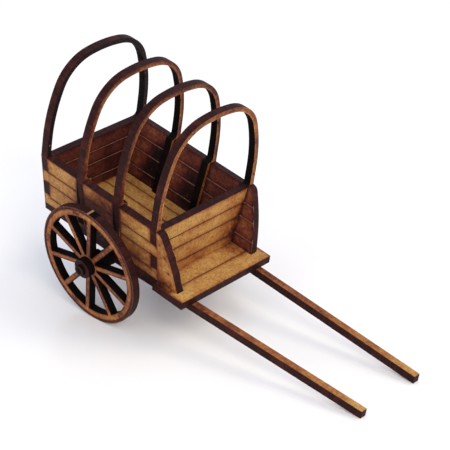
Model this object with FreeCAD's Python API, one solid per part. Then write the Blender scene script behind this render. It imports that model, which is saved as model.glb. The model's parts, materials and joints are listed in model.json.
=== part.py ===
"""A small two-wheeled tilt cart, cut from flat fibreboard sheet and glued up.

All pieces are first drawn in the cart's own frame: +X towards the shaft tips, +Y to the cart's left,
+Z up, the floor level, and the origin on the line of the wheel centres, midway between the bed's sides.
The finished cart then rests on its wheels and its shaft tips, so every piece is pitched nose down about
the wheel line and lifted until wheels and shaft tips stand on z = 0. The origin ends up on the ground
under the middle of the whole cart. Lengths are in millimetres.
"""
import FreeCAD, Part
import os
from math import acos, asin, cos, degrees, pi, radians, sin, sqrt, tan

V = FreeCAD.Vector

# --- sheet and cut marks ---------------------------------------------------------------------------
SHEET = 2.0                 # thickness of the fibreboard
SCORE_WIDTH = 0.26          # engraved line between two planks
SCORE_DEPTH = 0.16
NAIL_RADIUS = 0.25          # engraved nail dot
NAIL_DEPTH = 0.18
CUT = 1.0                   # how far a cutting tool reaches past what it cuts

# --- body ------------------------------------------------------------------------------------------
FLOOR_TOP = 3.1             # bed floor and footboard, above the wheel centres
FLOOR_UNDER = FLOOR_TOP - SHEET
HOOP_PITCH = 12.3           # front face of one hoop to the front face of the next
HOOP_COUNT = 4
REAR_INNER_X = -20.2        # front face of the rear panel and its hoop
FRONT_FACE_X = REAR_INNER_X + HOOP_PITCH * (HOOP_COUNT - 1)
FRONT_BACK_X = FRONT_FACE_X - SHEET
REAR_BACK_X = REAR_INNER_X - SHEET
FLARE = radians(10.5)       # the sides lean outwards by this much
SIDE_FOOT_Y = 13.68         # outer face of a side where it meets the floor
SIDE_HEIGHT = 15.0          # along the leaning sheet
END_TOP = 17.8              # top of the front and rear panels
PLANK_LINES = (2.5, 7.1, 10.8)      # heights of the plank lines above the floor, all round
FLOOR_PLANK = 4.5           # plank width of the bed floor
TAB_ZONES = ((0.0, 3.2), (7.3, 10.8))   # where a side's fingers pass through the end panels

# --- hoops -----------------------------------------------------------------------------------------
HOOP_HALF_WIDTH = 16.4      # outside
HOOP_TOP = 44.2
HOOP_BAND = 1.25
LEG_ARC = 40.0              # the leg leans in along this radius, then the shoulder, then the crown
LEG_SWEEP = radians(20.2)
SHOULDER_ARC = 11.23
SHOULDER_END = radians(80.0)
HOOP_FILLET = 1.3           # where a leg grows out of the panel or rib
RIB_PROUD_INSIDE = 0.85     # how far a middle hoop's leg stands out of the side panel
RIB_PROUD_OUTSIDE = 0.35
RIB_SHOULDER = 18.25        # where the leg steps from rib to band
SLOT_FOOT = 1.6             # height of the strip of side panel left under a slot
SLOT_PLAY = 0.02
HOOP_NAIL_HEIGHT = 21.3

# --- footboard and arms ----------------------------------------------------------------------------
FOOTBOARD_DEPTH = 9.6
FOOTBOARD_HALF_WIDTH = 15.2
ARM_HEIGHT = 15.3           # along the leaning sheet
ARM_FOOT_DEPTH = 6.45
ARM_WAIST_RISE = 8.2        # the front edge bends gently at this height
ARM_WAIST_DEPTH = 4.5
ARM_WAIST_RADIUS = 50.0
ARM_TOP_DEPTH = 1.25
ARM_TOP_RADIUS = 1.9
ARM_NAIL_RISES = (1.4, 4.6, 8.8, 12.0)
ARM_NAIL_SETBACK = 1.7      # the nails follow the front edge
FOOTBOARD_NAIL = (0.9, 0.7)     # nail dots, in from the footboard's rear and side edges

# --- shafts ----------------------------------------------------------------------------------------
SHAFT_WIDTH = 1.8
SHAFT_ROOT_X = 1.5          # against the axle beam
SHAFT_TIP_X = 75.5
SHAFT_LINES = {"right": (-12.2, -7.8), "left": (11.5, 11.1)}    # y at the root and at the tip

# --- running gear ----------------------------------------------------------------------------------
WHEEL_RADIUS = 15.4
RIM_WIDTH = 2.2
SPOKES = 10
SPOKE_WIDTH = 1.25
WHEEL_HUB_RADIUS = 2.9
HUB_DISC_RADIUS = 2.45
WHEEL_OUT_Y = {"left": 18.8, "right": 19.8}     # wheel centre on the wheel's outer face
CAMBER = {"left": radians(1.0), "right": radians(6.0)}      # how far the wheels lean out at the top
AXLE_ARM_RADIUS = 0.85
RUNNING_CLEARANCE = 0.05
END_PLAY = 0.15
AXLE_BEAM_X = 2 * SHAFT_ROOT_X
AXLE_BEAM_Z = 3.0
AXLE_BEAM_HALF = 14.4
COLLAR_RADIUS = 1.45
COLLAR_START = 13.8
CAP_RADIUS = 1.35
CAP_THICKNESS = 0.8
ARM_END = SHEET + END_PLAY + CAP_THICKNESS      # past the wheel's outer face
TYRE_LINE_RADIUS = 14.85    # engraved ring that marks the tyre
FELLOES = 5
FELLOE_NAIL_OFFSET = 0.75


def box(x0, x1, y0, y1, z0, z1):
    return Part.makeBox(x1 - x0, y1 - y0, z1 - z0, V(x0, y0, z0))


def mirrored(shape):
    """The same piece on the cart's right side."""
    return shape.mirror(V(0, 0, 0), V(0, 1, 0))


def rounded_outline(corners):
    """A closed wire through (point, radius) corners, each rounded by a tangent arc of that radius."""
    count = len(corners)
    stretches = []
    for i, (corner, radius) in enumerate(corners):
        before = (corners[i - 1][0] - corner).normalize()
        after = (corners[(i + 1) % count][0] - corner).normalize()
        if radius == 0:
            stretches.append((corner, None, corner))
            continue
        half_angle = acos(before.dot(after)) / 2
        setback = radius / tan(half_angle)
        bisector = (before + after).normalize()
        middle = corner + bisector * (radius / sin(half_angle) - radius)
        stretches.append((corner + before * setback, middle, corner + after * setback))
    edges = []
    for i, (start, middle, end) in enumerate(stretches):
        if middle is not None:
            edges.append(Part.Arc(start, middle, end).toShape())
        edges.append(Part.LineSegment(end, stretches[(i + 1) % count][0]).toShape())
    return Part.Wire(edges)


def plate(corners, thickness):
    """A flat plate: its rounded outline pushed along the vector thickness."""
    return Part.Face(rounded_outline(corners)).extrude(thickness)


def sharp(points):
    return [(point, 0) for point in points]


def nail(spot, outward):
    """Tool for a nail dot engraved at a spot on a face whose normal is outward."""
    return Part.makeCylinder(NAIL_RADIUS, NAIL_DEPTH + CUT, spot - outward * NAIL_DEPTH, outward)


# --- the leaning side sheets -----------------------------------------------------------------------

def lean(shape):
    """Tips a sheet drawn upright, outer face on y = 0 and foot on z = 0, into the left side's place."""
    shape.rotate(V(0, 0, 0), V(1, 0, 0), -degrees(FLARE))
    shape.translate(V(0, SIDE_FOOT_Y, FLOOR_TOP))
    return shape


def wall_point(depth, rise):
    """(y, z) of a point that lies depth inside the left side's outer face and rise up the sheet."""
    y = SIDE_FOOT_Y + rise * sin(FLARE) - depth * cos(FLARE)
    z = FLOOR_TOP + rise * cos(FLARE) + depth * sin(FLARE)
    return y, z


def wall_point_at(depth, z):
    """(y, z) of the point depth inside the left side's outer face at the height z."""
    return wall_point(depth, (z - FLOOR_TOP - depth * sin(FLARE)) / cos(FLARE))


def cut_foot(sheet):
    """Trims a leaning sheet so that it stands flat on the floor."""
    below = box(REAR_BACK_X - CUT, SHAFT_TIP_X, 0, SIDE_FOOT_Y + CUT, FLOOR_TOP - 2 * CUT, FLOOR_TOP)
    return sheet.cut(below)


def score(x0, x1, rise, inside):
    """Tool for a plank line on the outer or inner face of an upright sheet."""
    low, high = rise - SCORE_WIDTH / 2, rise + SCORE_WIDTH / 2
    if inside:
        return box(x0, x1, -SHEET - CUT, -SHEET + SCORE_DEPTH, low, high)
    return box(x0, x1, -SCORE_DEPTH, CUT, low, high)


def hoop_front_x(index):
    return REAR_INNER_X + HOOP_PITCH * index


def middle_hoops():
    return range(1, HOOP_COUNT - 1)


def side_panel():
    sheet = box(REAR_INNER_X, FRONT_BACK_X, -SHEET, 0, -CUT, SIDE_HEIGHT)
    for low, high in TAB_ZONES:
        sheet = sheet.fuse(box(REAR_BACK_X, FRONT_FACE_X, -SHEET, 0, low, high))
    tools = []
    for rise in PLANK_LINES:
        tools += [score(REAR_INNER_X, FRONT_BACK_X, rise, inside) for inside in (False, True)]
    for index in middle_hoops():
        front = hoop_front_x(index)
        tools.append(box(front - SHEET - SLOT_PLAY, front + SLOT_PLAY,
                         -SHEET - CUT, CUT, SLOT_FOOT, SIDE_HEIGHT + CUT))
    sheet = sheet.removeSplitter().cut(tools)
    return cut_foot(lean(sheet))


def arm_front_x(rise):
    """The arm's front edge: steep up to the waist, then sloping back to the top."""
    if rise < ARM_WAIST_RISE:
        share = rise / ARM_WAIST_RISE
        depth = ARM_FOOT_DEPTH + (ARM_WAIST_DEPTH - ARM_FOOT_DEPTH) * share
    else:
        share = (rise - ARM_WAIST_RISE) / (ARM_HEIGHT - ARM_WAIST_RISE)
        depth = ARM_WAIST_DEPTH + (ARM_TOP_DEPTH - ARM_WAIST_DEPTH) * share
    return FRONT_FACE_X + depth


def arm():
    """The cheek piece that stands on the footboard against the front panel."""
    corners = [
        (V(FRONT_FACE_X, 0, -CUT), 0),
        (V(arm_front_x(-CUT), 0, -CUT), 0),
        (V(arm_front_x(ARM_WAIST_RISE), 0, ARM_WAIST_RISE), ARM_WAIST_RADIUS),
        (V(arm_front_x(ARM_HEIGHT), 0, ARM_HEIGHT), ARM_TOP_RADIUS),
        (V(FRONT_FACE_X, 0, ARM_HEIGHT), 0),
    ]
    sheet = plate(corners, V(0, -SHEET, 0))
    tools = []
    for rise in PLANK_LINES:
        tools.append(score(FRONT_FACE_X - CUT, arm_front_x(rise) + CUT, rise, inside=True))
    for rise in ARM_NAIL_RISES:
        nail_x = arm_front_x(rise) - ARM_NAIL_SETBACK
        tools.append(nail(V(nail_x, 0, rise), V(0, 1, 0)))
    return cut_foot(lean(sheet.cut(tools)))


# --- hoops and end panels, drawn as (y, z) outlines and pushed along X -----------------------------

def hoop_circles():
    """Centre y, centre z and radius of the leg, shoulder and crown arcs of the left half, outside."""
    leg_y = HOOP_HALF_WIDTH - LEG_ARC
    shoulder_y = leg_y + (LEG_ARC - SHOULDER_ARC) * cos(LEG_SWEEP)
    crown_radius = SHOULDER_ARC + shoulder_y / cos(SHOULDER_END)
    crown_z = HOOP_TOP - crown_radius
    shoulder_z = crown_z + (crown_radius - SHOULDER_ARC) * sin(SHOULDER_END)
    leg_z = shoulder_z - (LEG_ARC - SHOULDER_ARC) * sin(LEG_SWEEP)
    return (leg_y, leg_z, LEG_ARC), (shoulder_y, shoulder_z, SHOULDER_ARC), (0.0, crown_z, crown_radius)


def arch_face(inset, foot_z):
    """The area inside the hoop's outline moved inwards by inset, down to foot_z, in the plane x = 0."""
    leg, shoulder, crown = hoop_circles()

    def on(circle, angle, side):
        y, z, radius = circle
        return V(0, side * (y + (radius - inset) * cos(angle)), z + (radius - inset) * sin(angle))

    middle_shoulder = (LEG_SWEEP + SHOULDER_END) / 2
    half_width = HOOP_HALF_WIDTH - inset
    edges = []
    for side in (1, -1):
        bend = on(leg, LEG_SWEEP, side)
        edges.append(Part.LineSegment(V(0, side * half_width, foot_z), on(leg, 0, side)).toShape())
        edges.append(Part.Arc(on(leg, 0, side), on(leg, LEG_SWEEP / 2, side), bend).toShape())
        tucked = on(shoulder, middle_shoulder, side)
        edges.append(Part.Arc(bend, tucked, on(crown, SHOULDER_END, side)).toShape())
    top = on(crown, pi / 2, 1)
    edges.append(Part.Arc(on(crown, SHOULDER_END, 1), top, on(crown, SHOULDER_END, -1)).toShape())
    edges.append(Part.LineSegment(V(0, half_width, foot_z), V(0, -half_width, foot_z)).toShape())
    return Part.Face(Part.Wire(Part.__sortEdges__(edges)))


def hoop_band(foot_z):
    """The bent-looking bow of a hoop as a flat sheet, its back on x = 0."""
    outer = arch_face(0, foot_z).extrude(V(SHEET, 0, 0))
    inner = arch_face(HOOP_BAND, foot_z - CUT).extrude(V(SHEET, 0, 0))
    return outer.cut(inner)


def leg_fillet(foot_z):
    """The rounded inner corner between a left leg and the edge it stands on."""
    y = HOOP_HALF_WIDTH - HOOP_BAND
    web = box(0, SHEET, y - HOOP_FILLET, y, foot_z, foot_z + HOOP_FILLET)
    centre = V(-CUT, y - HOOP_FILLET, foot_z + HOOP_FILLET)
    return web.cut(Part.makeCylinder(HOOP_FILLET, SHEET + 2 * CUT, centre, V(1, 0, 0)))


def hoop_nails():
    """Engraved nail dots low on the front face of both legs."""
    y = HOOP_HALF_WIDTH - HOOP_BAND / 2
    return [nail(V(SHEET, side * y, HOOP_NAIL_HEIGHT), V(1, 0, 0)) for side in (-1, 1)]


def end_panel(side_panels, back_x):
    """Front or rear panel in one piece with its hoop, notched for the fingers of the side panels."""
    low_y, low_z = wall_point_at(0, FLOOR_UNDER)
    top_y, top_z = wall_point_at(0, END_TOP)
    top_y = min(top_y, HOOP_HALF_WIDTH)
    corners = sharp([V(0, low_y, low_z), V(0, top_y, top_z), V(0, -top_y, top_z), V(0, -low_y, low_z)])
    fillet = leg_fillet(END_TOP)
    panel = plate(corners, V(SHEET, 0, 0))
    panel = panel.fuse([hoop_band(END_TOP), fillet, mirrored(fillet)]).removeSplitter()
    tools = hoop_nails()
    for rise in PLANK_LINES:
        low, high = FLOOR_TOP + rise - SCORE_WIDTH / 2, FLOOR_TOP + rise + SCORE_WIDTH / 2
        half_line = wall_point_at(SHEET, low)[0]
        tools.append(box(-CUT, SCORE_DEPTH, -half_line, half_line, low, high))
        tools.append(box(SHEET - SCORE_DEPTH, SHEET + CUT, -half_line, half_line, low, high))
    panel = panel.cut(tools)
    panel.translate(V(back_x, 0, 0))
    return panel.cut(side_panels)


def middle_hoop(index):
    """A hoop whose legs drop into the slots of the side panels and stand on the floor inside them."""
    proud = SHEET + RIB_PROUD_INSIDE
    slot_rise = SLOT_FOOT + SLOT_PLAY
    inner_y = HOOP_HALF_WIDTH - HOOP_BAND
    outline = [
        (inner_y, RIB_SHOULDER),
        (HOOP_HALF_WIDTH, RIB_SHOULDER),
        (HOOP_HALF_WIDTH, wall_point(0, SIDE_HEIGHT)[1]),
        wall_point(-RIB_PROUD_OUTSIDE, slot_rise),
        wall_point(SHEET, slot_rise),
        wall_point_at(SHEET, FLOOR_TOP),
        wall_point_at(proud, FLOOR_TOP),
        wall_point_at(proud, RIB_SHOULDER),
    ]
    leg = plate(sharp([V(0, y, z) for y, z in outline]), V(SHEET, 0, 0))
    leg = leg.fuse(leg_fillet(RIB_SHOULDER))
    hoop = hoop_band(RIB_SHOULDER).fuse([leg, mirrored(leg)]).removeSplitter().cut(hoop_nails())
    hoop.translate(V(hoop_front_x(index) - SHEET, 0, 0))
    return hoop


# --- floor, footboard and shafts -------------------------------------------------------------------

def bed_floor():
    sheet = box(REAR_INNER_X, FRONT_BACK_X, -SIDE_FOOT_Y, SIDE_FOOT_Y, FLOOR_UNDER, FLOOR_TOP)
    low_y = wall_point_at(0, FLOOR_UNDER)[0]
    outside = SIDE_FOOT_Y + CUT
    edge = [(low_y, FLOOR_UNDER), (SIDE_FOOT_Y, FLOOR_TOP), (outside, FLOOR_TOP), (outside, FLOOR_UNDER)]
    bevel = plate(sharp([V(REAR_INNER_X, y, z) for y, z in edge]), V(FRONT_BACK_X - REAR_INNER_X, 0, 0))
    tools = [bevel, mirrored(bevel)]
    inside = SIDE_FOOT_Y - SHEET
    lines = int(inside / FLOOR_PLANK)
    for k in range(-lines, lines + 1):
        y = k * FLOOR_PLANK
        tools.append(box(REAR_INNER_X - CUT, FRONT_BACK_X + CUT, y - SCORE_WIDTH / 2, y + SCORE_WIDTH / 2,
                         FLOOR_TOP - SCORE_DEPTH, FLOOR_TOP + CUT))
    return sheet.cut(tools)


def footboard():
    front = FRONT_FACE_X + FOOTBOARD_DEPTH
    sheet = box(FRONT_FACE_X, front, -FOOTBOARD_HALF_WIDTH, FOOTBOARD_HALF_WIDTH, FLOOR_UNDER, FLOOR_TOP)
    middle = (FRONT_FACE_X + front) / 2
    tools = [box(middle - SCORE_WIDTH / 2, middle + SCORE_WIDTH / 2, -FOOTBOARD_HALF_WIDTH - CUT,
                 FOOTBOARD_HALF_WIDTH + CUT, FLOOR_TOP - SCORE_DEPTH, FLOOR_TOP + CUT)]
    from_rear, from_side = FOOTBOARD_NAIL
    for side in (-1, 1):
        spot = V(FRONT_FACE_X + from_rear, side * (FOOTBOARD_HALF_WIDTH - from_side), FLOOR_TOP)
        tools.append(nail(spot, V(0, 0, 1)))
    return sheet.cut(tools)


def shaft(side):
    root_y, tip_y = SHAFT_LINES[side]
    half = SHAFT_WIDTH / 2
    bottom = FLOOR_UNDER - SHEET
    points = [
        V(SHAFT_ROOT_X, root_y - half, bottom),
        V(SHAFT_TIP_X, tip_y - half, bottom),
        V(SHAFT_TIP_X, tip_y + half, bottom),
        V(SHAFT_ROOT_X, root_y + half, bottom),
    ]
    return plate(sharp(points), V(0, 0, SHEET))


# --- running gear, drawn about a wheel's spin axis -------------------------------------------------
# In this local frame the axis is +Y, y = 0 is the wheel's outer face and +Y points away from the cart.

def on_axle(shape, side):
    """Moves a piece from the spin axis frame to the cambered axle arm on that side of the cart."""
    shape.rotate(V(0, 0, 0), V(1, 0, 0), -degrees(CAMBER[side]))
    shape.translate(V(0, WHEEL_OUT_Y[side], 0))
    return mirrored(shape) if side == "right" else shape


def disc(radius, y0, y1, bore=0.0):
    piece = Part.makeCylinder(radius, y1 - y0, V(0, y0, 0), V(0, 1, 0))
    if bore:
        piece = piece.cut(Part.makeCylinder(bore, y1 - y0 + 2 * CUT, V(0, y0 - CUT, 0), V(0, 1, 0)))
    return piece


def spun(tool, angle):
    """A copy of tool turned about the spin axis, angle measured up from +X."""
    turned = tool.copy()
    turned.rotate(V(0, 0, 0), V(0, 1, 0), -degrees(angle))
    return turned


def wheel(side):
    bore = AXLE_ARM_RADIUS + RUNNING_CLEARANCE
    rim_inner = WHEEL_RADIUS - RIM_WIDTH
    rim = disc(WHEEL_RADIUS, -SHEET, 0, rim_inner)
    spoke = box(WHEEL_HUB_RADIUS - CUT, rim_inner + CUT, -SHEET, 0, -SPOKE_WIDTH / 2, SPOKE_WIDTH / 2)
    pieces = [disc(WHEEL_HUB_RADIUS, -SHEET, 0)]
    pieces += [spun(spoke, 2 * pi * (k + 0.5) / SPOKES) for k in range(SPOKES)]
    body = rim.fuse(pieces).removeSplitter()
    ring = disc(TYRE_LINE_RADIUS + SCORE_WIDTH / 4, -SCORE_DEPTH, CUT, TYRE_LINE_RADIUS - SCORE_WIDTH / 4)
    felloe_end = TYRE_LINE_RADIUS - SCORE_WIDTH
    joint = box(rim_inner + SCORE_WIDTH, felloe_end, -SCORE_DEPTH, CUT, -SCORE_WIDTH / 3, SCORE_WIDTH / 3)
    nail_x = (rim_inner + TYRE_LINE_RADIUS) / 2
    tools = [ring, disc(bore, -SHEET - CUT, CUT)]
    for k in range(FELLOES):
        angle = 2 * pi * (k + 0.5) / FELLOES
        tools.append(spun(joint, angle))
        for z in (-FELLOE_NAIL_OFFSET, FELLOE_NAIL_OFFSET):
            tools.append(spun(nail(V(nail_x, 0, z), V(0, 1, 0)), angle))
    return on_axle(body.cut(tools), side)


def hub_disc(side, outer_face):
    bore = AXLE_ARM_RADIUS + RUNNING_CLEARANCE
    return on_axle(disc(HUB_DISC_RADIUS, outer_face - SHEET, outer_face, bore), side)


def axle_cap(side):
    return on_axle(disc(CAP_RADIUS, ARM_END - CAP_THICKNESS, ARM_END, AXLE_ARM_RADIUS), side)


def axle():
    """The beam glued across the underside of the floor, with a cambered round arm at each end."""
    beam = box(-AXLE_BEAM_X / 2, AXLE_BEAM_X / 2, -AXLE_BEAM_HALF, AXLE_BEAM_HALF,
               FLOOR_UNDER - AXLE_BEAM_Z, FLOOR_UNDER)
    collar_end = -2 * SHEET - END_PLAY
    ends = []
    for side, wheel_out in WHEEL_OUT_Y.items():
        start = COLLAR_START - wheel_out
        end = disc(COLLAR_RADIUS, start, collar_end).fuse(disc(AXLE_ARM_RADIUS, start, ARM_END))
        ends.append(on_axle(end, side))
    return beam.fuse(ends).removeSplitter()


# --- the resting pose ------------------------------------------------------------------------------

def wheel_drop(pitch):
    """How far the more upright wheel reaches below its centre once the cart is pitched."""
    lean_out = sin(min(CAMBER.values())) * cos(pitch)
    return WHEEL_RADIUS * sqrt(1 - lean_out ** 2)


def resting_pitch():
    """The nose-down angle at which the shaft tips touch the ground together with the wheels."""
    tip_bottom = FLOOR_UNDER - SHEET
    pitch = 0.0
    for _ in range(30):
        pitch = asin((wheel_drop(pitch) + tip_bottom * cos(pitch)) / SHAFT_TIP_X)
    return pitch


PITCH = resting_pitch()
REAR_END = REAR_BACK_X * cos(PITCH) + FLOOR_UNDER * sin(PITCH)
FRONT_END = SHAFT_TIP_X * cos(PITCH) + FLOOR_UNDER * sin(PITCH)
LEFT_END, RIGHT_END = [
    WHEEL_OUT_Y[side] + ARM_END * cos(CAMBER[side]) + CAP_RADIUS * sin(CAMBER[side])
    for side in ("left", "right")
]
LIFT = V(-(REAR_END + FRONT_END) / 2, (RIGHT_END - LEFT_END) / 2, wheel_drop(PITCH))


def at_rest(shape):
    shape.rotate(V(0, 0, 0), V(0, 1, 0), degrees(PITCH))
    shape.translate(LIFT)
    return shape


def build():
    left_side = side_panel()
    right_side = mirrored(left_side)
    sides = [left_side, right_side]
    nodes = {
        "bed_floor": bed_floor(),
        "side_panel_left": left_side,
        "side_panel_right": right_side,
        "rear_panel": end_panel(sides, REAR_BACK_X),
        "front_panel": end_panel(sides, FRONT_BACK_X),
        "hoop_second": middle_hoop(1),
        "hoop_third": middle_hoop(2),
        "footboard": footboard(),
        "axle": axle(),
    }
    nodes["arm_left"] = arm()
    nodes["arm_right"] = mirrored(nodes["arm_left"])
    for side in SHAFT_LINES:
        nodes["shaft_" + side] = shaft(side)
        nodes["wheel_" + side] = wheel(side)
        nodes["hub_disc_outer_" + side] = hub_disc(side, SHEET)
        nodes["hub_disc_inner_" + side] = hub_disc(side, -SHEET)
        nodes["axle_cap_" + side] = axle_cap(side)
    return nodes


os.makedirs("parts", exist_ok=True)
for name, shape in build().items():
    at_rest(shape).exportStep("parts/" + name + ".step")
    print(name, "volume", round(shape.Volume, 2), "solids", len(shape.Solids), "valid", shape.isValid())
print("pitch", round(degrees(PITCH), 3), "lift", [round(value, 4) for value in LIFT])
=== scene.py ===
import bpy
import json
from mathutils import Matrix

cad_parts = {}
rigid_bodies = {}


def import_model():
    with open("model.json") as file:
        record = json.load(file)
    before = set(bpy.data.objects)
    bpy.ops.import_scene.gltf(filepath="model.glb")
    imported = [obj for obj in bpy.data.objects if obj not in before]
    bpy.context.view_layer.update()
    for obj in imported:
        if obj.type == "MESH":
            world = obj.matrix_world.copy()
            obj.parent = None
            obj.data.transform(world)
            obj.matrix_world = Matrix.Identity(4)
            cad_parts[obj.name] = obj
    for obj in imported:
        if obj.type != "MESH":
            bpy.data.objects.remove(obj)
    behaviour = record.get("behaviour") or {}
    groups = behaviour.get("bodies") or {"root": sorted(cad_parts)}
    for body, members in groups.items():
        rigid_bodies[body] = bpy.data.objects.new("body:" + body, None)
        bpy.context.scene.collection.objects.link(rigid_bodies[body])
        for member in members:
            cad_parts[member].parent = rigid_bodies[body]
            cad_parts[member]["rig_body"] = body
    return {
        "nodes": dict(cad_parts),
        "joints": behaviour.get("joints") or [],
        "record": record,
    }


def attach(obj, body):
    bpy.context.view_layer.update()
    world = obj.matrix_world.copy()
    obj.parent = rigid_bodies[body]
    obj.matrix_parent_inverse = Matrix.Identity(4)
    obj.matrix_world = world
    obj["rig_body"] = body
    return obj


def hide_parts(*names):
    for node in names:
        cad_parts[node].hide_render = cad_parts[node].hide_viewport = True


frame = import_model()

"""The looks of a small tilt cart that was laser-cut from 2 mm fibreboard and glued up.

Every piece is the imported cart's own piece, taken apart into what a laser leaves: a fresh face, a smoked
face, charred cut edges, sooty inner edges and engraved lines. Lengths are in metres, as in the frame.
"""
import json
from math import atan2, cos, exp, radians, sin

import bmesh
import bpy
from mathutils import Matrix, Vector, kdtree

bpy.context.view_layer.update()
MM = 0.001

# --- the cart's own frame, from the middle of its axle: X to the shaft tips, Y to the left, Z up ---
JOINTS = {joint["name"]: joint for joint in frame["joints"]}
MOUNTS = {mount["name"]: mount for mount in frame["record"]["mounts"]}
FLOOR_NORMAL = Vector(MOUNTS["bed_floor_top"]["axis"])
PITCH = atan2(FLOOR_NORMAL.x, FLOOR_NORMAL.z)
AXLE_LEFT = Vector(JOINTS["left_wheel_spin"]["pos_m"])
AXLE_RIGHT = Vector(JOINTS["right_wheel_spin"]["pos_m"])
WHEEL_OUT = 19.8 * MM       # the right wheel's centre, from the cart's middle
AXLE_CENTRE = AXLE_RIGHT + Vector((0, WHEEL_OUT, 0))
CART = Matrix.Translation(AXLE_CENTRE) @ Matrix.Rotation(PITCH, 4, "Y")
TO_CART = CART.inverted()

SIDE_LEAN = radians(10.5)
LEFT_LEAN, RIGHT_LEAN = radians(1.0), radians(6.0)      # how far each wheel leans out at the top
WHEEL_RADIUS = 15.4 * MM
RIM_INNER = 13.2 * MM
TYRE_LINE = 14.85 * MM      # radius of the line engraved round the rim
SHAFT_TIP = 75 * MM         # about how far ahead of the axle the shaft tips are
HOOP_FOOT = 18.1 * MM       # above this, an end panel is hoop
HOOP_MIDDLE = 25.0 * MM     # a height inside every hoop, which its inner edges face
LEG_SHADE = 11.0 * MM        # below this, a hoop's leg is matt black all round, as painted shade where the legs go down beside the side panels and behind the wheels
TAB_START = -0.8 * MM       # where the pale mark on a wheel's tread starts, forward of the tread's top
TAB_WIDTH = 0.45 * MM       # pale mark where a wheel was held in its sheet
TAB_SOOT = 2.2 * MM         # length of sooty tread ahead of the mark
SCORE_REACH = 0.2 * MM      # an engraved line's walls stay within this of the face
FACE_REACH = SCORE_REACH / 4        # a level face this close to the sheet's own face is part of it


def basis(x_axis, y_axis):
    """A sheet's turn: its X and Y lie along these axes of the cart, and its Z is the fresh face's normal."""
    x, y = Vector(x_axis).normalized(), Vector(y_axis).normalized()
    local = Matrix((x, y, x.cross(y))).transposed()
    return CART.to_3x3() @ local


SHEETS = {
    "flat": basis((1, 0, 0), (0, 1, 0)),
    "front": basis((0, 1, 0), (0, 0, 1)),
    "rear": basis((0, -1, 0), (0, 0, 1)),
    "side_left": basis((-1, 0, 0), (0, sin(SIDE_LEAN), cos(SIDE_LEAN))),
    "side_right": basis((1, 0, 0), (0, -sin(SIDE_LEAN), cos(SIDE_LEAN))),
    "wheel_left": basis((-1, 0, 0), (0, sin(LEFT_LEAN), cos(LEFT_LEAN))),
    "wheel_right": basis((1, 0, 0), (0, -sin(RIGHT_LEAN), cos(RIGHT_LEAN))),
}


# --- materials -------------------------------------------------------------------------------------

def linear(code):
    """An sRGB hex colour as linear RGBA."""
    parts = [int(code[i:i + 2], 16) / 255 for i in (1, 3, 5)]
    return [c / 12.92 if c <= 0.04045 else ((c + 0.055) / 1.055) ** 2.4 for c in parts] + [1.0]


def per(size):
    """The noise scale whose features are this far across."""
    return 1 / size


def add(tree, kind, settings=None, inputs=None, stops=()):
    """Adds a node with its settings, its inputs as values or as sockets to link from, and its colour stops
    as (place, hex colour)."""
    made = tree.nodes.new(kind)
    for name, value in (settings or {}).items():
        setattr(made, name, value)
    for key, value in (inputs or {}).items():
        if isinstance(value, bpy.types.NodeSocket):
            tree.links.new(value, made.inputs[key])
        else:
            made.inputs[key].default_value = value
    elements = made.color_ramp.elements if stops else ()
    while len(elements) < len(stops):
        elements.new(1.0)
    for element, (place, code) in zip(elements, stops):
        element.position = place
        element.color = linear(code)
    return made


def new_material(name, roughness):
    """A material with a bare Principled shader, its tree and its shader node."""
    made = bpy.data.materials.new(name)
    made.use_nodes = True
    shader = made.node_tree.nodes["Principled BSDF"]
    shader.inputs["Roughness"].default_value = roughness
    return made, made.node_tree, shader


CLOUD = 6.0 * MM            # soft clouds of smoke
MOTTLE = 0.9 * MM           # clumps of fibres
FIBRE = 0.3 * MM            # real fibres are about 0.05 mm wide, too fine to show, so these are coarser
SPECK = 0.55 * MM           # dark flecks of bark
SPREAD = 0.55               # how far clouds and clumps each shift the tone, of the whole range
STROKE = 0.35 * MM          # the beam's own strokes are under 0.1 mm apart, so these are drawn coarser
STROKE_SQUEEZE = 0.12       # strokes are about eight times as long as they are wide
STROKE_TONE, STROKE_BASE = 0.55, 0.22       # how far strokes shift an edge's tone, and from where
HAZE = 4.0 * MM             # slow changes of tone along an edge
HAZE_TONE = 0.8             # and how far they shift it
BURN = 0.6 * MM             # uneven burning along an engraved line
RELIEF = 0.05 * MM          # height of fibres and strokes
CARD_GRAIN = 40.0 * MM      # faint unevenness of the tabletop


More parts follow.
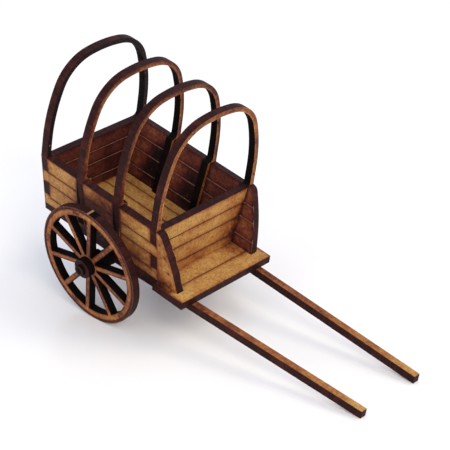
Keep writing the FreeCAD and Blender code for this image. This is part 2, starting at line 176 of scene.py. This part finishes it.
def fibreboard(name, tones, fleck, roughness):
    """Medium-density fibreboard, pressed and lightly smoked: matt, with a felt of tiny fibres in close
    browns, sparse dark flecks, and soft clouds where smoke has settled. A vertex attribute gives how smoked
    a place is, with painted shade and a painted highlight worked into it in places; tones run from the
    cleanest to the most smoked and shaded."""
    made, tree, shader = new_material(name, roughness)
    place = add(tree, "ShaderNodeTexCoord").outputs["Object"]
    shader.inputs["Specular IOR Level"].default_value = 0.2
    smoke_and_painted_light = add(tree, "ShaderNodeAttribute", {"attribute_name": "smoke_and_painted_light"}).outputs["Fac"]
    clouds = add(tree, "ShaderNodeTexNoise", inputs={"Vector": place, "Scale": per(CLOUD), "Detail": 3.0})
    centred = add(tree, "ShaderNodeMath", {"operation": "MULTIPLY_ADD"},
                  {0: clouds.outputs["Fac"], 1: SPREAD, 2: -SPREAD / 2})
    mottle = add(tree, "ShaderNodeTexNoise", inputs={"Vector": place, "Scale": per(MOTTLE), "Detail": 3.0})
    mottled = add(tree, "ShaderNodeMath", {"operation": "MULTIPLY_ADD"},
                  {0: mottle.outputs["Fac"], 1: SPREAD, 2: centred.outputs[0]})
    tone = add(tree, "ShaderNodeMath", {"operation": "ADD", "use_clamp": True},
               {0: mottled.outputs[0], 1: smoke_and_painted_light})
    base = add(tree, "ShaderNodeValToRGB", inputs={"Fac": tone.outputs[0]}, stops=tones)
    fibres = add(tree, "ShaderNodeTexNoise", inputs={"Vector": place, "Scale": per(FIBRE), "Detail": 4.0,
                                                     "Roughness": 0.7, "Distortion": 1.2})
    felt = add(tree, "ShaderNodeValToRGB", inputs={"Fac": fibres.outputs["Fac"]},
               stops=[(0.3, "#8C8178"), (0.5, "#DFDAD3"), (0.68, "#FFFFFF")])
    felted = add(tree, "ShaderNodeMix", {"data_type": "RGBA", "blend_type": "MULTIPLY"},
                 {0: 1.0, 6: base.outputs["Color"], 7: felt.outputs["Color"]})
    specks = add(tree, "ShaderNodeTexNoise", inputs={"Vector": place, "Scale": per(SPECK), "Detail": 1.0})
    sparse = add(tree, "ShaderNodeValToRGB", inputs={"Fac": specks.outputs["Fac"]},
                 stops=[(0.66, "#000000"), (0.74, "#FFFFFF")])
    flecked = add(tree, "ShaderNodeMix", {"data_type": "RGBA"},
                  {0: sparse.outputs["Color"], 6: felted.outputs[2], 7: linear(fleck)})
    bump = add(tree, "ShaderNodeBump",
               inputs={"Height": fibres.outputs["Fac"], "Strength": 0.35, "Distance": RELIEF})
    tree.links.new(flecked.outputs[2], shader.inputs["Base Color"])
    tree.links.new(bump.outputs["Normal"], shader.inputs["Normal"])
    return made


def charred_edge(name, sheet, tones, roughness):
    """The cut edge of fibreboard, burnt by the laser: a dark, faintly shiny char with fine strokes straight
    through the sheet, one for each pulse of the beam."""
    made, tree, shader = new_material(name, roughness)
    place = add(tree, "ShaderNodeTexCoord").outputs["Object"]
    turn = SHEETS[sheet].inverted().to_euler()
    turned = add(tree, "ShaderNodeMapping", inputs={"Vector": place, "Rotation": turn})
    strokes = add(tree, "ShaderNodeMapping",
                  inputs={"Vector": turned.outputs[0], "Scale": (1, 1, STROKE_SQUEEZE)})
    lines = add(tree, "ShaderNodeTexNoise", inputs={"Vector": strokes.outputs[0], "Scale": per(STROKE),
                                                    "Detail": 2.0, "Roughness": 0.6})
    faint = add(tree, "ShaderNodeMath", {"operation": "MULTIPLY_ADD"},
                {0: lines.outputs["Fac"], 1: STROKE_TONE, 2: STROKE_BASE})
    shader.inputs["Specular IOR Level"].default_value = 0.08
    haze = add(tree, "ShaderNodeTexNoise", inputs={"Vector": place, "Scale": per(HAZE), "Detail": 2.0})
    tone = add(tree, "ShaderNodeMath", {"operation": "MULTIPLY_ADD", "use_clamp": True},
               {0: haze.outputs["Fac"], 1: HAZE_TONE, 2: -HAZE_TONE / 2})
    both = add(tree, "ShaderNodeMath", {"operation": "ADD", "use_clamp": True},
               {0: tone.outputs[0], 1: faint.outputs[0]})
    base = add(tree, "ShaderNodeValToRGB", inputs={"Fac": both.outputs[0]}, stops=tones)
    bump = add(tree, "ShaderNodeBump",
               inputs={"Height": lines.outputs["Fac"], "Strength": 0.3, "Distance": RELIEF})
    tree.links.new(base.outputs["Color"], shader.inputs["Base Color"])
    tree.links.new(bump.outputs["Normal"], shader.inputs["Normal"])
    return made


def engraved_line(name, tones):
    """The bottom of a line that the laser only scratched in: burnt, dull and a little uneven."""
    made, tree, shader = new_material(name, roughness=0.9)
    place = add(tree, "ShaderNodeTexCoord").outputs["Object"]
    burn = add(tree, "ShaderNodeTexNoise", inputs={"Vector": place, "Scale": per(BURN), "Detail": 3.0})
    base = add(tree, "ShaderNodeValToRGB", inputs={"Fac": burn.outputs["Fac"]}, stops=tones)
    tree.links.new(base.outputs["Color"], shader.inputs["Base Color"])
    return made


FRESH_TONES = [(0.1, "#D9B26C"), (0.34, "#C39150"), (0.55, "#A56534"), (0.8, "#632D1C"), (1.0, "#361412")]
SMOKED_TONES = [(0.1, "#B0703F"), (0.4, "#743829"), (0.65, "#451816"), (1.0, "#160708")]
EDGE_TONES = [(0.25, "#110606"), (0.5, "#27100F"), (0.8, "#4C211B")]
RAW_TONES = [(0.0, "#C9A07C"), (1.0, "#A87552")]
SOOT_TONES = [(0.2, "#020101"), (0.55, "#0A0505"), (0.9, "#1C0E0C")]

# The face that looked up to the laser: honey brown, browner beside its cuts.
FRESH = fibreboard("fibreboard_fresh_face", FRESH_TONES, fleck="#7A4A24", roughness=0.62)
# The face that lay in the smoke under the sheet: dull red-brown to nearly black.
SMOKED = fibreboard("fibreboard_smoked_face", SMOKED_TONES, fleck="#5E2C20", roughness=0.7)
# Engraved lines read darker than a fresh face, and paler than a smoked one.
FRESH_LINE = engraved_line("engraved_line_fresh", [(0.3, "#3E1D10"), (0.7, "#6B3A1C")])
SMOKED_LINE = engraved_line("engraved_line_smoked", [(0.3, "#6E3E33"), (0.7, "#A06C58")])
# Board that was snapped and not burnt: pale and dusty.
RAW_TAB = fibreboard("fibreboard_raw_tab", RAW_TONES, fleck="#7A4A24", roughness=0.8)
# Cut edges are dark brown with a faint shine, and those that the smoke blew along are matt black; the
# lowest part of each hoop's legs gets the same matt black as painted shade. Each sheet has its own,
# because the strokes run straight through it.
EDGES = {sheet: charred_edge("charred_edge_" + sheet, sheet, EDGE_TONES, roughness=0.55) for sheet in SHEETS}
SOOT_AND_SHADE = {sheet: charred_edge("sooty_and_shaded_edge_" + sheet, sheet, SOOT_TONES, roughness=0.8) for sheet in SHEETS}

FRESH_FACE, BACK_FACE, CUT_EDGE, INNER_EDGE, FRESH_SCORE, BACK_SCORE, TAB = range(7)


def finishes(sheet):
    """The materials of one piece, in the order of the numbers above."""
    return [FRESH, SMOKED, EDGES[sheet], SOOT_AND_SHADE[sheet], FRESH_LINE, SMOKED_LINE, RAW_TAB]


# --- pieces ----------------------------------------------------------------------------------------

GRID = 0.7 * MM             # smoke is written at the corners of a grid this fine
WHEEL_GRID = 0.4 * MM
SHAFT_GRID = 3.0 * MM
MERGE_REACH = 1e-7          # corners this close are one corner
PLANE_REACH = 1e-8          # a corner this close to a grid plane is on it
LEVEL = 0.99                # cosine of the most that a face may be turned from its sheet and be level
INWARD = 0.5                # cosine: an edge turned this far inward looks into the bed
ACROSS = 0.1                # and this little forward or back

# Smoke, with painted shade and a painted highlight worked in at places, runs from 0, clean, to 1, the most
# that shows.
# A halo has its strength at the border, and has faded to about a third of it at its reach.
CUT_HALO, CUT_REACH = 0.3, 0.5 * MM
LINE_HALO, LINE_REACH = 0.22, 0.3 * MM
TYRE_HALO, TYRE_REACH = 0.45, 0.16 * MM
HALO_STEP = 0.4 * MM        # spacing of the points along a border that a halo is measured from
WHEEL_SMOKE = 0.19          # the faces of a wheel
SPOKE_SMOKE = 0.08          # what spokes and hub have beyond that
LOOSE_HOOP = (0.34, 0.62)   # a hoop's face where it meets its inner edge, paler there as a painted highlight, and elsewhere
SHAFT_ROOT = 0.5            # a shaft beside the axle
SHAFT_FADE = 0.42           # how much paler a shaft is at its tip than beside the axle
CHAR_AND_SHADE = 0.9               # small pieces that are dark all over: the hub discs and caps charred, the axle, under the bed, painted shade


def taken_apart(node, sheet, inner=None):
    """The node's own shape as a bmesh, its faces numbered by what the laser made of them. inner says which
    cut edges are inner ones, from a point and a normal in the cart's frame."""
    mesh = bmesh.new()
    mesh.from_mesh(frame["nodes"][node].data)
    bmesh.ops.remove_doubles(mesh, verts=mesh.verts, dist=MERGE_REACH)
    bmesh.ops.recalc_face_normals(mesh, faces=mesh.faces)
    normal = SHEETS[sheet].col[2]
    heights = {vert: vert.co.dot(normal) for vert in mesh.verts}
    top, bottom = max(heights.values()), min(heights.values())
    for face in mesh.faces:
        levels = [heights[vert] for vert in face.verts]
        slope = face.normal.dot(normal)
        near_top = min(levels) > top - SCORE_REACH
        near_bottom = max(levels) < bottom + SCORE_REACH
        if near_top:
            on_face = slope > LEVEL and max(levels) > top - FACE_REACH
            face.material_index = FRESH_FACE if on_face else FRESH_SCORE
        elif near_bottom:
            on_face = slope < -LEVEL and min(levels) < bottom + FACE_REACH
            face.material_index = BACK_FACE if on_face else BACK_SCORE
        else:
            spot = TO_CART @ face.calc_center_median()
            facing = TO_CART.to_3x3() @ face.normal
            sooty = inner is not None and inner(spot, facing)
            face.material_index = INNER_EDGE if sooty else CUT_EDGE
    return mesh


def gridded(mesh, sheet, step):
    """Cuts the mesh into a grid along the sheet, so that smoke can vary across a wide face."""
    for axis in (SHEETS[sheet].col[0], SHEETS[sheet].col[1]):
        places = [vert.co.dot(axis) for vert in mesh.verts]
        low, high = min(places), max(places)
        count = int((high - low) / step)
        for k in range(1, count + 1):
            whole = mesh.verts[:] + mesh.edges[:] + mesh.faces[:]
            on_plane = axis * (low + k * step)
            bmesh.ops.bisect_plane(mesh, geom=whole, dist=PLANE_REACH, plane_co=on_plane, plane_no=axis)


def distance_from(mesh, marks):
    """A function that gives how far a point is from the nearest border of faces of these kinds."""
    spots = []
    for edge in mesh.edges:
        kinds = {face.material_index for face in edge.link_faces}
        if len(kinds) == 2 and kinds & marks:
            a, b = edge.verts[0].co, edge.verts[1].co
            steps = max(1, int((b - a).length / HALO_STEP))
            spots += [a.lerp(b, k / steps) for k in range(steps + 1)]
    tree = kdtree.KDTree(len(spots))
    for index, spot in enumerate(spots):
        tree.insert(spot, index)
    tree.balance()
    return lambda point: tree.find(point)[2]


def finished(mesh, node, sheet, smoke_and_painted_light):
    """Makes the piece that stands for a node. Its last argument gives how smoked each vertex is, from its
    place, painted shade and painted highlight included.
    """
    layer = mesh.verts.layers.float.new("smoke_and_painted_light")
    for vert in mesh.verts:
        vert[layer] = smoke_and_painted_light(vert)
    data = bpy.data.meshes.new(node + "_board")
    mesh.to_mesh(data)
    mesh.free()
    for material in finishes(sheet):
        data.materials.append(material)
    piece = bpy.data.objects.new(node + "_board", data)
    bpy.context.scene.collection.objects.link(piece)
    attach(piece, frame["nodes"][node]["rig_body"])
    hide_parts(node)


def clouded(mesh, base, clouds):
    """Smoke at a vertex: a base value, the halos beside cuts and engraved lines, and soft clouds at
    (centre in mm in the cart's frame, radius in mm, strength), some of them painted shade."""
    from_cut = distance_from(mesh, {CUT_EDGE, INNER_EDGE})
    from_line = distance_from(mesh, {FRESH_SCORE, BACK_SCORE})

    def smoke_and_painted_light(vert):
        spot = TO_CART @ vert.co
        value = base + CUT_HALO * exp(-from_cut(vert.co) / CUT_REACH)
        value += LINE_HALO * exp(-from_line(vert.co) / LINE_REACH)
        for centre, radius, strength in clouds:
            away = (spot / MM - Vector(centre)).length / radius
            value += strength * exp(-away * away)
        return value
    return smoke_and_painted_light


def panel(node, sheet, base, clouds=()):
    """A flat board with its base smoke and its clouds."""
    mesh = taken_apart(node, sheet)
    gridded(mesh, sheet, GRID)
    finished(mesh, node, sheet, clouded(mesh, base, clouds))


def inside_hoop(spot, facing):
    """An edge that looks into the hoop's opening, or into the bed from a rib."""
    if spot.z < HOOP_FOOT:
        return facing.y * spot.y < -INWARD * abs(spot.y) and abs(facing.x) < ACROSS
    return facing.y * spot.y + facing.z * (spot.z - HOOP_MIDDLE) < 0


def hoop_smoke_and_highlight(highlit, smoked):
    """Smoke on a hoop, with a painted highlight: less of it, so a paler tone, where its faces meet its inner
    edge, and smoked elsewhere.
    """
    def smoke_and_painted_light(vert):
        inner = any(face.material_index == INNER_EDGE for face in vert.link_faces)
        return highlit if inner else smoked
    return smoke_and_painted_light


def hoop(node):
    """A loose hoop, sooty along its inner edge, its face paler beside that edge as a painted highlight, and
    matt black all round the lowest part of its legs as painted shade.
    """
    mesh = taken_apart(node, "front", lambda spot, facing: spot.z < LEG_SHADE or inside_hoop(spot, facing))
    finished(mesh, node, "front", hoop_smoke_and_highlight(*LOOSE_HOOP))


def end_panel(node, sheet, hoop_tones, base, clouds):
    """A panel in one piece with its hoop, whose tones are the highlit one, a painted highlight, and the
    smoked one, as on a loose hoop.
    """
    mesh = taken_apart(node, sheet, lambda spot, facing: spot.z > HOOP_FOOT and inside_hoop(spot, facing))
    gridded(mesh, sheet, GRID)
    on_panel = clouded(mesh, base, clouds)
    on_hoop = hoop_smoke_and_highlight(*hoop_tones)

    def smoke_and_painted_light(vert):
        return on_hoop(vert) if (TO_CART @ vert.co).z > HOOP_FOOT else on_panel(vert)
    finished(mesh, node, sheet, smoke_and_painted_light)


def marked(mesh, sheet, centre):
    """Leaves a pale mark across a wheel's tread where the wheel was held in its sheet until it was snapped
    out, with soot ahead of it."""
    forward, up = CART.to_3x3() @ Vector((1, 0, 0)), SHEETS[sheet].col[1]
    for face in mesh.faces:
        arm = face.calc_center_median() - centre
        if face.material_index == CUT_EDGE and arm.dot(up) > WHEEL_RADIUS / 2:
            past = arm.dot(forward) - TAB_START
            if 0 <= past < TAB_WIDTH:
                face.material_index = TAB
            elif TAB_WIDTH <= past < TAB_WIDTH + TAB_SOOT:
                face.material_index = INNER_EDGE


def wheel(side, centre):
    """A spoked wheel, sooty between its spokes, burnt beside the line round its rim, pale at its mark."""
    node = "wheel_" + side
    axis = SHEETS[node].col[2]

    def radius(point):
        arm = point - centre
        return (arm - axis * arm.dot(axis)).length

    mesh = taken_apart(node, node)
    for face in mesh.faces:
        if face.material_index == CUT_EDGE and radius(face.calc_center_median()) < RIM_INNER + SCORE_REACH:
            face.material_index = INNER_EDGE
    gridded(mesh, node, WHEEL_GRID)
    marked(mesh, node, centre)
    board = clouded(mesh, WHEEL_SMOKE, [])

    def smoke_and_painted_light(vert):
        out = radius(vert.co)
        burn = TYRE_HALO * exp(-abs(out - TYRE_LINE) / TYRE_REACH) if out > RIM_INNER else SPOKE_SMOKE
        return board(vert) + burn
    finished(mesh, node, node, smoke_and_painted_light)


def shaft(side):
    """Browner at the root, under the bed, and paler towards the tip."""
    node = "shaft_" + side
    mesh = taken_apart(node, "flat")
    gridded(mesh, "flat", SHAFT_GRID)

    def smoke_and_painted_light(vert):
        along = (TO_CART @ vert.co).x / SHAFT_TIP
        return SHAFT_ROOT - SHAFT_FADE * along * along
    finished(mesh, node, "flat", smoke_and_painted_light)


def dark_piece(node, sheet):
    """Small pieces that are dark all over, their edges the darkest: the hub discs and caps charred, the axle,
    under the bed, painted shade.
    """
    mesh = taken_apart(node, sheet)
    for face in mesh.faces:
        face.material_index = INNER_EDGE if face.material_index == CUT_EDGE else CUT_EDGE
    finished(mesh, node, sheet, lambda vert: CHAR_AND_SHADE)


panel("bed_floor", "flat", base=0.05)
panel("footboard", "flat", base=0.02,
      clouds=[((18.5, 10.0, 3.0), 3.5, 0.25), ((18.0, -15.0, 3.0), 3.5, 0.5)])
# The first three clouds darken the middle and front bays; the last two, low behind the right wheel, are
# painted shade.
panel("side_panel_right", "side_right", base=0.05,
      clouds=[((-4.0, -15.0, 10.0), 6.0, 0.4), ((0.5, -16.0, 14.0), 5.0, 0.25), ((9.0, -14.0, 5.0), 6.0, 0.3),
              ((-6.0, -14.0, 4.0), 5.5, 0.7), ((1.0, -14.0, 5.0), 4.5, 0.6)])
# The first four clouds are painted shadows that the middle hoops' legs cast on the panel's inner face.
panel("side_panel_left", "side_left", base=0.12,
      clouds=[((0.5, 14.0, 6.0), 3.0, 1.2), ((0.5, 15.0, 11.0), 2.6, 0.9), ((-11.5, 14.0, 7.0), 3.2, 1.3),
              ((-11.0, 15.0, 12.0), 2.6, 1.0), ((10.0, 15.0, 14.0), 5.0, 0.2)])
# The first cloud, at the panel's left end beside the left side panel, is partly smoke and partly painted
# shade.
end_panel("front_panel", "front", hoop_tones=(0.12, 0.4), base=0.05,
          clouds=[((16.7, 15.5, 7.0), 6.5, 0.75), ((16.7, 0.0, 2.5), 4.0, 0.3),
                  ((16.7, -12.0, 3.0), 5.0, 0.25)])
end_panel("rear_panel", "rear", hoop_tones=(0.65, 0.9), base=0.2, clouds=[((-22.0, 8.0, 6.0), 6.0, 0.25)])
hoop("hoop_second")
hoop("hoop_third")
panel("arm_right", "side_right", base=0.1, clouds=[((18.5, -14.0, 4.0), 3.0, 0.25)])
panel("arm_left", "side_left", base=0.08)
shaft("right")
shaft("left")
wheel("right", AXLE_RIGHT)
wheel("left", AXLE_LEFT)
for side in ("right", "left"):
    for part in ("hub_disc_outer_", "hub_disc_inner_", "axle_cap_"):
        dark_piece(part + side, "wheel_" + side)
# The axle, under the bed, is dark all over as painted shade.
dark_piece("axle", "flat")


# --- floor, light and camera -----------------------------------------------------------------------

FLOOR_REACH = 6.0           # from the floor's middle to its edges
LAMP_DISTANCE = 1.2


def floor():
    """A white tabletop that runs out of sight, satin, and very faintly uneven in tone."""
    mesh = bmesh.new()
    bmesh.ops.create_grid(mesh, x_segments=1, y_segments=1, size=FLOOR_REACH)
    data = bpy.data.meshes.new("floor")
    mesh.to_mesh(data)
    mesh.free()
    made, tree, shader = new_material("white_card", roughness=0.3)
    place = add(tree, "ShaderNodeTexCoord").outputs["Object"]
    grain = add(tree, "ShaderNodeTexNoise", inputs={"Vector": place, "Scale": per(CARD_GRAIN), "Detail": 2.0})
    base = add(tree, "ShaderNodeValToRGB", inputs={"Fac": grain.outputs["Fac"]},
               stops=[(0.3, "#F5F4F2"), (0.7, "#F8F7F5")])
    tree.links.new(base.outputs["Color"], shader.inputs["Base Color"])
    data.materials.append(made)
    ground = bpy.data.objects.new("floor", data)
    bpy.context.scene.collection.objects.link(ground)


def heading(azimuth, elevation):
    """The direction towards something seen at this azimuth and elevation, as the views count them."""
    a, e = radians(azimuth), radians(elevation)
    return Vector((sin(a) * cos(e), -cos(a) * cos(e), sin(e)))


def softbox(name, azimuth, elevation, size, power, colour):
    """A round soft light that faces the cart from this azimuth and elevation."""
    light = bpy.data.lights.new(name, "AREA")
    light.shape = "DISK"
    light.size = size
    light.energy = power
    light.color = linear(colour)[:3]
    lamp = bpy.data.objects.new(name, light)
    towards = heading(azimuth, elevation)
    lamp.location = AXLE_CENTRE + towards * LAMP_DISTANCE
    lamp.rotation_euler = towards.to_track_quat("Z", "Y").to_euler()
    bpy.context.scene.collection.objects.link(lamp)


def studio():
    """A pale blue-white sky and three warm lights: the strongest from the camera's right, one from beyond
    the cart, and a weak one from the camera's left."""
    world = bpy.data.worlds.new("studio")
    world.use_nodes = True
    sky = world.node_tree.nodes["Background"]
    sky.inputs["Color"].default_value = linear("#EAF0FF")
    sky.inputs["Strength"].default_value = 0.93
    bpy.context.scene.world = world
    softbox("right_softbox", azimuth=65, elevation=32, size=0.6, power=6.6, colour="#FFF5E6")
    softbox("back_softbox", azimuth=130, elevation=50, size=0.6, power=3.7, colour="#FFF1DC")
    softbox("left_softbox", azimuth=-5, elevation=22, size=0.7, power=2.8, colour="#FFF8EE")
    bpy.context.scene.view_settings.view_transform = "Standard"


def camera():
    """Looks at the axle from the right front, slightly rolled, with a long lens."""
    azimuth, elevation, roll = 43.1, 27.96, -0.556
    distance = 436.75 * MM
    aside, above = 18.83 * MM, 2.62 * MM        # the view's centre, from the axle centre
    view = bpy.data.cameras.new("camera")
    view.sensor_width = 36.0
    view.lens = 143.9
    view.clip_start, view.clip_end = 0.01, 20.0
    eye = bpy.data.objects.new("camera", view)
    back = heading(azimuth, elevation)
    turn = back.to_track_quat("Z", "Y").to_matrix() @ Matrix.Rotation(radians(roll), 3, "Z")
    centre = AXLE_CENTRE + turn.col[0] * aside + turn.col[1] * above
    eye.location = centre + back * distance
    eye.rotation_euler = turn.to_euler()
    bpy.context.scene.collection.objects.link(eye)
    bpy.context.scene.camera = eye


floor()
studio()
camera()
